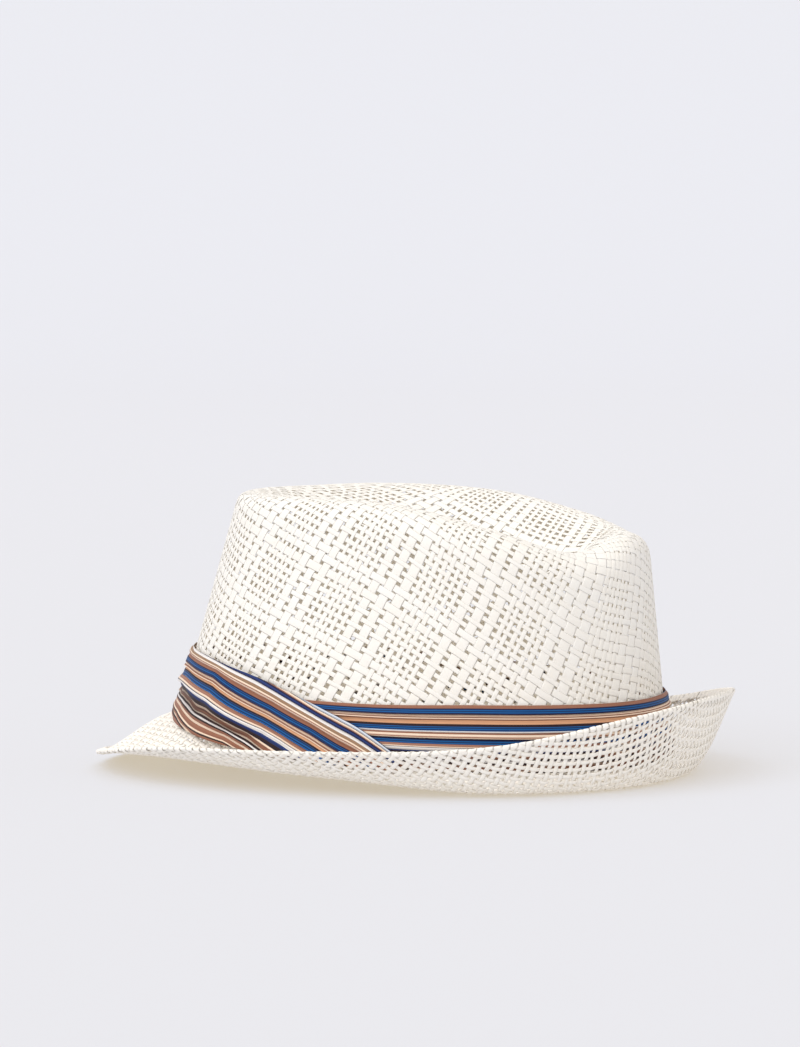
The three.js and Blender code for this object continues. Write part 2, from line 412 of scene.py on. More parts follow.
@dataclass(frozen=True)
class Strand:
    """The section of one flat paper strand: a lens with six corners."""

    thickness: float
    inset: float = 0.13
    fullest: float = 0.45  # greatest thickness as a share of the width

    def add_to(self, pile: MeshPile, left: Array, right: Array, normal: Array,
               draw: np.random.Generator) -> None:
        """Add a strand along a row of samples.

        Args:
            pile: where the mesh is gathered.
            left: (n, 3) points of the left edge.
            right: (n, 3) points of the right edge.
            normal: (n, 3) unit normals of the cloth.
            draw: gives the strand's tone, and the start of its grain, so that no two are alike.
        """
        tone, start = float(draw.random()), float(draw.uniform(0, 50))
        count, i = len(left), self.inset
        width = np.linalg.norm(right - left, axis=1)
        half = np.minimum(self.thickness, self.fullest * width)[:, None] / 2
        near, far = left + (right - left) * i, right + (left - right) * i
        rings = np.stack([left, near + normal * half, far + normal * half,
                          right, far - normal * half, near - normal * half], 1)
        ring = np.arange(6)
        first = (np.arange(count - 1) * 6)[:, None]
        a, b = first + ring, first + (ring + 1) % 6
        last = (count - 1) * 6
        caps = np.array([[3, 2, 1, 0], [0, 5, 4, 3],
                         [last, last + 1, last + 2, last + 3], [last + 3, last + 4, last + 5, last]])
        quads = np.concatenate([np.stack([a, b, b + 6, a + 6], -1).reshape(-1, 4), caps])
        girth = np.array([0.0, i, 1 - i, 1.0, 1 + i, 2 - i, 2.0])
        along = (travelled((left + right) / 2) / 10 + start)[:, None] + 0 * girth
        grid = np.stack([along, width[:, None] / 10 * girth + start * 3.7], -1)
        uv = np.stack([grid[:-1, :-1], grid[:-1, 1:], grid[1:, 1:], grid[1:, :-1]], 2).reshape(-1, 4, 2)
        uv = np.concatenate([uv, np.zeros((4, 4, 2)) + start])
        points = rings.reshape(-1, 3)
        p = points[quads[6 * (count // 2) + 1]]
        if np.cross(p[1] - p[0], p[3] - p[0]) @ normal[count // 2] < 0:
            quads, uv = quads[:, ::-1], uv[:, ::-1]
        pile.add(points, quads, {"grain": uv}, tone)


# ------------------------------------------------------------------ the weave of the crown
@dataclass(frozen=True)
class Family:
    """The spacing of one family of strands: three wide and six narrow strands to a period."""

    wide_pitch: float
    narrow_pitch: float
    wide: float
    narrow: float

    @property
    def period(self) -> float:
        """Distance after which the nine strands repeat."""
        return 3 * self.wide_pitch + 6 * self.narrow_pitch

    def centres(self) -> Array:
        """Places of the nine strands of a period, the middle wide one at 0."""
        w, n = self.wide_pitch, self.narrow_pitch
        return np.array([-w, 0.0, w, *(1.5 * w + n * (0.5 + k) for k in range(6))])

    def widths(self) -> Array:
        """Widths of the nine strands."""
        return np.array([self.wide] * 3 + [self.narrow] * 6)


@dataclass
class Rows:
    """Strands of one family, numbered without end, with their own small irregularities."""

    family: Family
    seed: int
    shift: float = 0.0
    stray: float = 0.16
    unevenness: float = 0.07
    drawn: int = 400  # random numbers of each kind
    cycle: int = 378  # strands after which the irregularities repeat

    def __post_init__(self) -> None:
        """Draw the random numbers of all strands."""
        draw = np.random.default_rng(self.seed)
        self.offsets = np.clip(draw.normal(0.0, self.stray, self.drawn), -0.35, 0.35)
        self.swell = np.clip(draw.normal(1.0, self.unevenness, self.drawn), 0.84, 1.18)
        self.phase = draw.uniform(0.0, 6.28, self.drawn)

    def centre(self, index: Array, along: Array) -> Array:
        """Place of a strand's middle.

        Args:
            index: strand numbers.
            along: distance along the strand, for its wander.

        Returns:
            The coordinate across the family.
        """
        turn, spot = np.divmod(index + 1, 9)
        key = np.mod(index, self.cycle)
        wander = 0.10 * np.sin(along / 9.0 + self.phase[key]) + self.offsets[key]
        return turn * self.family.period + self.family.centres()[spot] + self.shift + wander

    def middle(self, index: int) -> float:
        """Place of one strand's middle where it starts."""
        return float(self.centre(np.array(index), np.array(0.0)))

    def width(self, index: Array) -> Array:
        """Width of strands."""
        return self.family.widths()[np.mod(index + 1, 9)] * self.swell[np.mod(index, self.cycle)]


@dataclass(frozen=True)
class Net:
    """Two families of strands that cross on a flattened part of the crown."""

    shallow: Rows
    steep: Rows
    shallow_tilt: float  # sine of the slope of the shallow family
    steep_tilt: float  # cosine of the slope of the steep family

    def rows(self, steep: bool) -> tuple[Rows, Rows]:
        """One family and the one that it crosses."""
        return (self.steep, self.shallow) if steep else (self.shallow, self.steep)

    def place(self, own: Array, other: Array, steep: bool) -> tuple[Array, Array]:
        """Net place of two family coordinates.

        Args:
            own: coordinate across the strand's own family.
            other: coordinate across the crossed family.
            steep: which family is the own one.

        Returns:
            Distances down the wall and round it.
        """
        a, b = (other, own) if steep else (own, other)
        sa, cb = self.shallow_tilt, self.steep_tilt
        ca, sb = math.sqrt(1 - sa * sa), math.sqrt(1 - cb * cb)
        size = ca * cb + sa * sb
        return (a * cb + b * sa) / size, (b * ca - a * sb) / size

    def across(self, down: float, round_it: float, steep: bool) -> float:
        """Coordinate across a family of a net place.

        Args:
            down: distance down the wall.
            round_it: distance round it.
            steep: which family.

        Returns:
            The coordinate.
        """
        if steep:
            return down * math.sqrt(1 - self.steep_tilt ** 2) + round_it * self.steep_tilt
        return down * math.sqrt(1 - self.shallow_tilt ** 2) - round_it * self.shallow_tilt

    def samples(self, steep: bool, index: int, low: float, high: float) -> tuple[Array, Array, Array]:
        """Samples along one strand, three to a crossing.

        Args:
            steep: which family the strand is of.
            index: the strand's number.
            low: first coordinate along it.
            high: last one.

        Returns:
            Coordinates along the strand, its middle there, and how far it is over 1 or under -1.
        """
        own, crossing = self.rows(steep)
        spare, period = 6, crossing.family.period
        first = int(math.floor((low - crossing.shift) / period * 9)) - spare
        last = int(math.ceil((high - crossing.shift) / period * 9)) + spare
        numbers = np.arange(first, last + 1)
        c, w = crossing.centre(numbers, np.full(len(numbers), own.middle(index))), crossing.width(numbers)
        gap = np.append((c[:-1] + w[:-1] / 2 + c[1:] - w[1:] / 2) / 2, c[-1] + w[-1])
        places = np.stack([c - KNOT * w, c + KNOT * w, gap], 1).ravel()
        sign = np.where((numbers + index) % 2 == 0, 1.0, -1.0) * (1.0 if steep else -1.0)
        over = np.stack([sign, sign, 0 * sign], 1).ravel()
        return places, own.centre(np.full(len(places), index), places), over


@dataclass
class CrownWeave:
    """The crown's cloth of straw: a net round the wall and a square net over the top."""

    form: HatForm
    side: float = 131.6  # side of the square that covers the top, a quarter of the way round
    depth: float = 0.82  # the cloth's middle under the outer surface
    ripple: float = 0.095  # over and under
    thickness: float = 0.17
    hidden: float = 1.0  # how far above its foot the wall ends
    extra: float = 0.24  # how much wider the strands are pressed at the back
    rim_extra: float = 0.18  # and at the rim
    overhang: float = 0.5  # how far the top's strands pass the net's edge
    widest_narrow: float = 2.4  # a strand wider than this is one of the wide ones
    shallow_count: int = 54  # strands of each family round the wall
    steep_count: int = 126

    def __post_init__(self) -> None:
        """Lay out the nets and the tables of the surface."""
        shallow = Rows(Family(3.9, 3.3, 3.12, 1.95), 11, 7.8)
        steep = Rows(Family(5.82, 2.95, 4.15, 1.8), 12, 20.6)
        around = 4 * self.side
        self.wall_net = Net(shallow, steep, self.shallow_count / 9 * shallow.family.period / around,
                            self.steep_count / 9 * steep.family.period / around)
        even = Family(4.9, 3.1, 3.5, 1.7)
        self.top_net = Net(Rows(even, 13), Rows(even, 14), 0.36, 0.933)
        half = np.linspace(0.0, 180.0, 361)
        self.start = Line(half, self.form.crown_lines(half)[3])
        self.valley = Line(half, self.form.valley_point(half))
        self.lay_wall()

    def lay_wall(self) -> None:
        """Make the table of the wall by direction and distance down from the start of the top."""
        form = self.form
        self.reach, places, row = spread(form.crown, np.linspace(form.top_row, 0.0, 301), 6.0)
        foot, wall_end = form.crown_lines(DEGREES)[:2]
        wall = np.linalg.norm(wall_end - foot, axis=1)
        row -= np.maximum(places - self.reach[:, None], 0.0) * form.wall_row / wall[:, None]
        self.wall = SurfaceTable(form.crown(DEGREES[:, None] + 0 * row, row), (90, 100, 0))
        self.turns = DEGREES + 90.0
        run = travelled(form.crown(self.turns, np.full(len(DEGREES), form.wall_row / 2)))
        self.arc = 360.0 * run / run[-1]

    def direction(self, angle: Array) -> Array:
        """Direction round the hat of an even angle, 0 left and 90 back."""
        return np.interp(np.mod(angle, 360.0), self.arc, self.turns)

    def height(self, x: Array, y: Array) -> Array:
        """Height of the dented top over plan places.

        Args:
            x: places to the left.
            y: places to the back.

        Returns:
            The heights.
        """
        side, x = np.where(x < 0.0, 360.0, 0.0), np.abs(x)
        start, valley = self.start.at, self.valley.at

        def before(mid: Array) -> Array:
            """Whether the places lie past the line from the top's start to the valley."""
            sx, sy = start(mid, 0), start(mid, 1)
            return -sx * (y - sy) - (valley(mid, 1) - sy) * (x - sx) < 0

        turn = half_turn(before, x, 22)
        sx, sy = start(turn, 0), start(turn, 1)
        far = np.hypot(sx, valley(turn, 1) - sy)
        t = smooth(np.hypot(x - sx, y - sy) / np.maximum(far, 1e-6))
        rim = self.form.rim_height(np.abs(side - turn))
        return rim + (valley(turn, 2) - rim) * t

    def on_top(self, x: Array, y: Array) -> tuple[Array, Array]:
        """Points and normals of the outer surface over net places on the top.

        Args:
            x: net places to the left.
            y: net places to the back.

        Returns:
            The points, and the unit normals there.
        """
        u, v = (np.clip(2 * place / self.side, -1.04, 1.04) for place in (x, y))
        a, b = u * np.sqrt(1 - v * v / 2), v * np.sqrt(1 - u * u / 2)
        start = self.form.crown_lines(self.direction(np.degrees(np.arctan2(b, a))))[3]
        centre = np.array([0.0, self.form.rim.shift])
        plan = centre + np.hypot(a, b)[..., None] * (start[..., :2] - centre)
        px, py, e = plan[..., 0], plan[..., 1], 0.5
        slope_x = (self.height(px + e, py) - self.height(px - e, py)) / (2 * e)
        slope_y = (self.height(px, py + e) - self.height(px, py - e)) / (2 * e)
        normal = unit(np.stack([-slope_x, -slope_y, np.ones_like(px)], -1))
        return np.stack([px, py, self.height(px, py)], -1), normal

    def round_wall(self, p: Array, q: Array) -> tuple[Array, Array, Array]:
        """Points and normals of the outer surface over net places on the wall.

        Args:
            p: distances round the wall.
            q: distances down it.

        Returns:
            The points, the normals and the directions.
        """
        k = np.round(p / self.side)
        edge = 2 * (p - k * self.side) / self.side
        corner = np.degrees(np.arcsin(np.clip(edge / math.sqrt(2.0), -1, 1)))
        eased = smooth(q / 45.0)
        turn = self.direction(90.0 * k + corner * (1 - eased) + 45.0 * edge * eased)
        return (*self.wall.sample(turn, q), turn)

    def pressed(self, turn: Array, down: Array) -> Array:
        """How much wider the strands are pressed, most at the back and near the rim.

        Args:
            turn: directions round the hat.
            down: distances down the wall.

        Returns:
            Factors on the strands' width.
        """
        away = np.abs(np.mod(turn, 360.0) - 180.0)
        back = 1.0 + self.extra * (1.0 - smooth((away - 28.0) / 28.0))
        return back * (1.0 + self.rim_extra * (1.0 - smooth((down - 4.0) / 8.0)))

    def wall_strands(self, steep: bool) -> MeshPile:
        """Weave one family of the wall.

        Args:
            steep: True for the family that falls to the front.

        Returns:
            The strands' meshes.
        """
        net, pile = self.wall_net, MeshPile()
        own, _ = net.rows(steep)
        draw = np.random.default_rng(own.seed + 50)
        deepest = self.reach.max() + 3.0
        for index in range(self.steep_count if steep else self.shallow_count):
            ends = []
            for down in (0.0, deepest):  # where the strand's line is at that depth
                round_it = (own.middle(index) - net.across(down, 0.0, steep)) / net.across(0.0, 1.0, steep)
                ends.append(net.across(down, round_it, not steep))
            places, centre, over = net.samples(steep, index, min(ends), max(ends))
            q = net.place(centre, places, steep)[0]
            inside = q > 0.4
            places = np.append(float(np.interp(-self.overhang, q, places)), places[inside])
            over = np.append(0.0, over[inside])
            centre = own.centre(np.full(len(places), index), places)
            q, p = net.place(centre, places, steep)
            normal, turn = self.round_wall(p, np.clip(q, 0, None))[1:]
            past = q > np.interp(np.mod(turn, 360.0), DEGREES, self.reach) - self.hidden
            last = int(np.argmax(past)) if past.any() else len(q)
            if last < 3:
                continue
            samples = (places, over, centre, turn, normal, q)
            places, over, centre, turn, normal, q = (values[:last] for values in samples)
            width, family = float(own.width(index)), own.family
            pitch = family.wide_pitch if width > self.widest_narrow else family.narrow_pitch
            widths = np.minimum(width * self.pressed(turn, q), max(pitch - 0.25, width))
            edges = []
            for side in (-0.5, 0.5):
                down, round_it = net.place(centre + side * widths, places, steep)
                edges.append(self.round_wall(round_it, np.clip(down, 0.0, None))[0])
            lift = (self.ripple * over * smooth((q + 0.4) / 2.0) - self.depth)[:, None] * normal
            Strand(self.thickness).add_to(pile, edges[0] + lift, edges[1] + lift, normal, draw)
        return pile

    def top_strands(self, steep: bool, pile: MeshPile) -> None:
        """Weave one family of the top.

        Args:
            steep: which family.
            pile: where the strands' meshes are gathered.
        """
        net, half = self.top_net, self.side / 2
        own, _ = net.rows(steep)
        draw = np.random.default_rng(own.seed + 90)
        far = self.side * 0.75
        count = int(far / own.family.period * 9) + 2
        fine = np.linspace(-far, far, 1500)
        for index in range(-count, count + 1):
            places, centre, over = net.samples(steep, index, -far, far)
            x, y = net.place(own.centre(np.full(len(fine), index), fine), fine, steep)
            within = np.maximum(np.abs(x), np.abs(y)) < half + self.overhang
            if within.sum() < 12:
                continue
            low, high = fine[within][0], fine[within][-1]
            inner = (places > low + 0.4) & (places < high - 0.4)
            places = np.concatenate([[low], places[inner], [high]])
            over = np.concatenate([[0.0], over[inner], [0.0]])
            centre = own.centre(np.full(len(places), index), places)
            width = float(own.width(index))
            normal = self.on_top(*net.place(centre, places, steep))[1]
            edges = [self.on_top(*net.place(centre + s * width, places, steep))[0] for s in (-0.5, 0.5)]
            lift = (self.ripple * over - self.depth)[:, None] * normal
            Strand(self.thickness).add_to(pile, edges[0] + lift, edges[1] + lift, normal, draw)

    def build(self) -> list[bpy.types.Object]:
        """Make the crown's woven pieces.

        Returns:
            The two pieces of the wall and the one of the top.
        """
        top = MeshPile()
        for steep in (True, False):
            self.top_strands(steep, top)
        return [self.wall_strands(True).make("crown_steep_strands"),
                self.wall_strands(False).make("crown_shallow_strands"),
                top.make("crown_top_strands")]


# ------------------------------------------------------------------ the weave of the brim
@dataclass
class BrimWeave:
    """The brim's closer cloth of straw, laid on the bias and turned back in a hem."""

    form: HatForm
    pitch: float = 3.3
    width: float = 2.15  # of the strands at the sides
    closed: float = 2.65  # at the front
    hem_gap: float = 0.04  # between the strands along the hem
    ripple: float = 0.23
    thickness: float = 0.46
    inset: float = 0.24  # of the strands' section
    fold: float = 0.62  # radius of the hem's fold
    hem: float = 3.0  # how far the cloth comes back
    tuck: float = 7.0  # how far the cloth runs up inside the crown
    lines: int = 60  # strands of a family to each side of the middle
    farthest: float = 205.0  # strands beyond this miss the brim
    settle: float = 1.4  # the cloth is flattened on the floor below this height
    lowest: float = 0.5  # to this height of its middle

    def __post_init__(self) -> None:
        """Make the table of the brim by direction and distance out from the joint."""
        form = self.form
        reach, places, rows = spread(form.brim, np.linspace(0.0, 1.0, 241), 1.2)
        self.reach = reach - self.fold
        points = form.brim(DEGREES[:, None] + 0 * rows, rows)
        edge, before = (form.brim(DEGREES, np.full(len(DEGREES), place)) for place in (1.0, 0.99))
        beyond = np.maximum(places - reach[:, None], 0.0)[..., None]
        self.table = SurfaceTable(points + beyond * unit(edge - before)[:, None], (90, 10, 2))
        self.rise = Line(DEGREES, unit(form.crown_rim(DEGREES) - form.crown_foot(DEGREES)))
        inner = form.base.point(DEGREES, 0 * DEGREES)[:, :2]
        self.inner = Line(DEGREES, inner)
        self.way = Line(DEGREES, unit(form.edge.point(DEGREES, 0 * DEGREES)[:, :2] - inner))

    def find(self, x: Array, y: Array) -> tuple[Array, Array]:
        """Direction and distance from the joint of places in the flat cloth.

        Args:
            x: places to the left in the flat cloth.
            y: places to the back.

        Returns:
            Directions in degrees, and distances, below 0 inside the crown.
        """
        right, x = x < 0.0, np.abs(x)
        inner, way = self.inner.at, self.way.at

        def before(mid: Array) -> Array:
            """Whether the places lie past the line out from the joint."""
            return way(mid, 0) * (y - inner(mid, 1)) - way(mid, 1) * (x - inner(mid, 0)) > 0

        turn = half_turn(before, x, 24)
        out = way(turn, 0) * (x - inner(turn, 0)) + way(turn, 1) * (y - inner(turn, 1))
        return np.where(right, 360.0 - turn, turn), out

    def past_edge(self, turn: Array, out: Array) -> tuple[Array, Array]:
        """Distances of the hem's fold from the joint, and of places past that fold."""
        end = np.interp(np.mod(turn, 360.0), DEGREES, self.reach)
        return end, out - end

    def place(self, x: Array, y: Array) -> tuple[Array, Array, Array]:
        """Points, normals and distances of flat places, round the hem's fold and back.

        Args:
            x: places to the left in the flat cloth.
            y: places to the back.

        Returns:
            Points, unit normals of the cloth's first upper side, and distances past the hem's fold.
        """
        turn, out = self.find(x, y)
        end, past = self.past_edge(turn, out)
        bow = math.pi * self.fold
        along = np.minimum(out, end) - np.clip(past - bow, 0.0, None)
        point, normal = self.table.sample(turn, np.clip(along, 0.0, None))
        ahead = unit(point - self.table.sample(turn, np.clip(along - CELL, 0.0, None))[0])
        angle = (np.clip(past, 0.0, bow) / self.fold)[..., None]
        under = np.clip(-out, 0.0, None)[..., None]
        rise = np.stack([self.rise.at(np.mod(turn, 360.0), k) for k in range(3)], -1)
        inward = unit(rise * FLAT)
        point = point + rise * under + inward * smooth(under / 1.5)
        normal = unit(normal * (1 - smooth(under / 2.0)) - inward * smooth(under / 2.0))
        bent = point + normal * self.fold * (1 - np.cos(angle)) + ahead * self.fold * np.sin(angle)
        low = bent[..., 2]
        flattened = self.lowest + (low + 0.2) * (self.settle - self.lowest) / (self.settle + 0.2)
        bent[..., 2] = np.where(low < self.settle, flattened, low)
        return bent, normal * np.cos(angle) - ahead * np.sin(angle), past

    def widths(self, turn: Array, past: Array, own: float) -> Array:
        """Widths along a strand.

        Args:
            turn: directions round the hat.
            past: distances past the hem's fold.
            own: the strand's own share of the usual width.

        Returns:
            The widths.
        """
        from_front = np.abs(np.mod(turn + 180.0, 360.0) - 180.0)
        close = 1 - smooth((from_front - 35.0) / 50.0)
        slim = self.width - 0.3 * smooth((from_front - 105.0) / 40.0)
        w = (slim + (self.closed - slim) * close) * own
        return w + (self.pitch - self.hem_gap - w) * smooth((past + 2.0) / 1.8)

    def strands(self, bias: int) -> MeshPile:
        """Weave one family of the brim.

        Args:
            bias: 1 for strands along x + y, -1 for those along x - y.

        Returns:
            The strands' meshes.
        """
        pile, draw = MeshPile(), np.random.default_rng(31 + bias)
        lines = np.arange(-self.lines, self.lines + 1)
        count = len(lines)
        strays, shares = {}, {}
        for way in (1, -1):
            strays[way] = np.clip(np.random.default_rng(40 + way).normal(0, 0.16, count), -0.4, 0.4)
            shares[way] = np.clip(np.random.default_rng(60 + way).normal(1, 0.07, count), 0.85, 1.15)
        own, crossing = (lines * self.pitch + strays[s] for s in (bias, -bias))
        gap = (crossing[:-1] + crossing[1:]) / 2
        met = KNOT * (self.width * shares[-bias])
        knots = np.stack([crossing - met, crossing + met, np.append(gap, gap[-1] + self.pitch)], 1).ravel()
        sign = np.where(lines % 2 == 0, 1.0, -1.0)
        waves = np.stack([sign, sign, 0 * sign], 1).ravel()
        places = np.sort(np.concatenate([knots, np.arange(knots[0], knots[-1], 0.45)]))
        wave, exact = np.interp(places, knots, waves), np.isin(places, knots)
        for number, centre in enumerate(own):
            if abs(centre) > self.farthest:
                continue
            along = np.full(len(places), centre) + 0.09 * np.sin(places / 7.0 + number * 1.7)
            x, y = self.flat(along, places, bias)
            turn, out = self.find(x, y)
            past = self.past_edge(turn, out)[1]
            held = (out > -self.tuck) & (past < math.pi * self.fold + self.hem)
            use = held & (exact | (past > -1.0))
            breaks = np.cumsum(~held)
            flip = 1.0 if number % 2 == 0 else -1.0
            for run in np.unique(breaks[use]):
                pick = use & (breaks == run)
                if pick.sum() < 4:
                    continue
                half = self.widths(turn[pick], past[pick], shares[bias][number]) / 2
                edges = [self.place(*self.flat(along[pick] + side, places[pick], bias))[0]
                         for side in (-half, half)]
                _, normal, away = self.place(x[pick], y[pick])
                quiet = 1 - 0.75 * smooth((away + 0.5) / 1.5)
                lift = (self.ripple * wave[pick] * flip * bias * quiet)[:, None] * normal
                section = Strand(self.thickness, self.inset)
                section.add_to(pile, edges[0] + lift, edges[1] + lift, normal, draw)
        return pile

    def flat(self, own: Array, other: Array, bias: int) -> tuple[Array, Array]:
        """Flat place of a strand coordinate and a crossing coordinate."""
        a, b = (own, other) if bias > 0 else (other, own)
        return (a + b) / math.sqrt(2.0), (a - b) / math.sqrt(2.0)

    def build(self) -> list[bpy.types.Object]:
        """Make the brim's woven pieces."""
        return [self.strands(1).make("brim_left_strands"), self.strands(-1).make("brim_right_strands")]


# ------------------------------------------------------------------ the band
class Dye(Enum):
    """The colours of the band's stripes, as sRGB."""

    BROWN = (156, 106, 83)
    PINK_BROWN = (172, 124, 103)
    TAN = (160, 128, 100)
    PEACH = (223, 168, 130)
    CREAM = (247, 224, 202)
    CREAM_PINK = (228, 202, 186)
    LILAC = (219, 227, 240)
    WHITE = (245, 241, 240)
    NAVY = (18, 22, 62)
    # dark lines of the cloth; some of these stripes are painted shade under a pleat's fold
    DARK = (40, 22, 24)
    BLUE = (0, 92, 162)
    PALE_BLUE = (70, 112, 168)
    MUTED_BLUE = (36, 60, 122)


@dataclass(frozen=True)
class Stripe:
    """One stripe of the cloth: its dye and its width on the rear part and on the outer end."""

    dye: Dye
    rear: float
    sash: float


# The dark stripe after MUTED_BLUE is painted shade in the valley under a fold.
STRIPES: tuple[Stripe, ...] = tuple(Stripe(Dye[name], rear, sash) for name, rear, sash in (
    ("PALE_BLUE", 0.0, 0.3), ("LILAC", 0.0, 1.0), ("NAVY", 0.0, 0.15), ("CREAM", 0.0, 0.7),
    ("BROWN", 0.0, 0.3), ("NAVY", 0.0, 0.6), ("MUTED_BLUE", 0.0, 0.8), ("NAVY", 0.0, 0.4),
    ("WHITE", 0.0, 1.1), ("TAN", 0.0, 1.2), ("CREAM", 0.0, 0.6), ("BROWN", 0.0, 0.4),
    ("CREAM_PINK", 0.0, 0.6), ("BROWN", 1.5, 1.6), ("NAVY", 0.3, 0.35), ("BLUE", 1.7, 1.65),
    ("NAVY", 0.7, 0.4), ("BROWN", 0.0, 0.3), ("CREAM", 0.8, 0.6), ("BROWN", 0.5, 0.6),
    ("CREAM", 0.4, 0.3), ("BROWN", 0.4, 0.0), ("PEACH", 1.75, 0.9), ("DARK", 1.1, 0.6),
    ("BLUE", 1.9, 2.0), ("WHITE", 0.6, 0.0), ("BROWN", 0.8, 0.0), ("CREAM", 1.0, 0.0),
    ("BROWN", 0.5, 0.0), ("CREAM", 0.3, 0.0), ("NAVY", 0.5, 0.0), ("BLUE", 1.9, 0.0),
    ("PINK_BROWN", 1.1, 1.2), ("CREAM", 0.4, 0.7), ("NAVY", 0.2, 0.2), ("WHITE", 1.2, 1.0),
    ("MUTED_BLUE", 0.5, 0.7), ("DARK", 0.8, 0.9), ("CREAM", 0.5, 0.35), ("BROWN", 1.2, 1.1),
    ("CREAM", 0.0, 0.3), ("DARK", 0.8, 0.5), ("WHITE", 0.6, 0.35), ("DARK", 1.0, 0.4),
    ("BROWN", 0.0, 0.7), ("CREAM", 0.5, 0.4), ("BROWN", 1.8, 1.3), ("CREAM", 0.4, 0.4),
    ("DARK", 0.6, 0.4), ("BROWN", 0.0, 0.8), ("CREAM", 0.0, 0.6), ("DARK", 0.0, 0.3), ("BROWN", 0.0, 2.2),
))


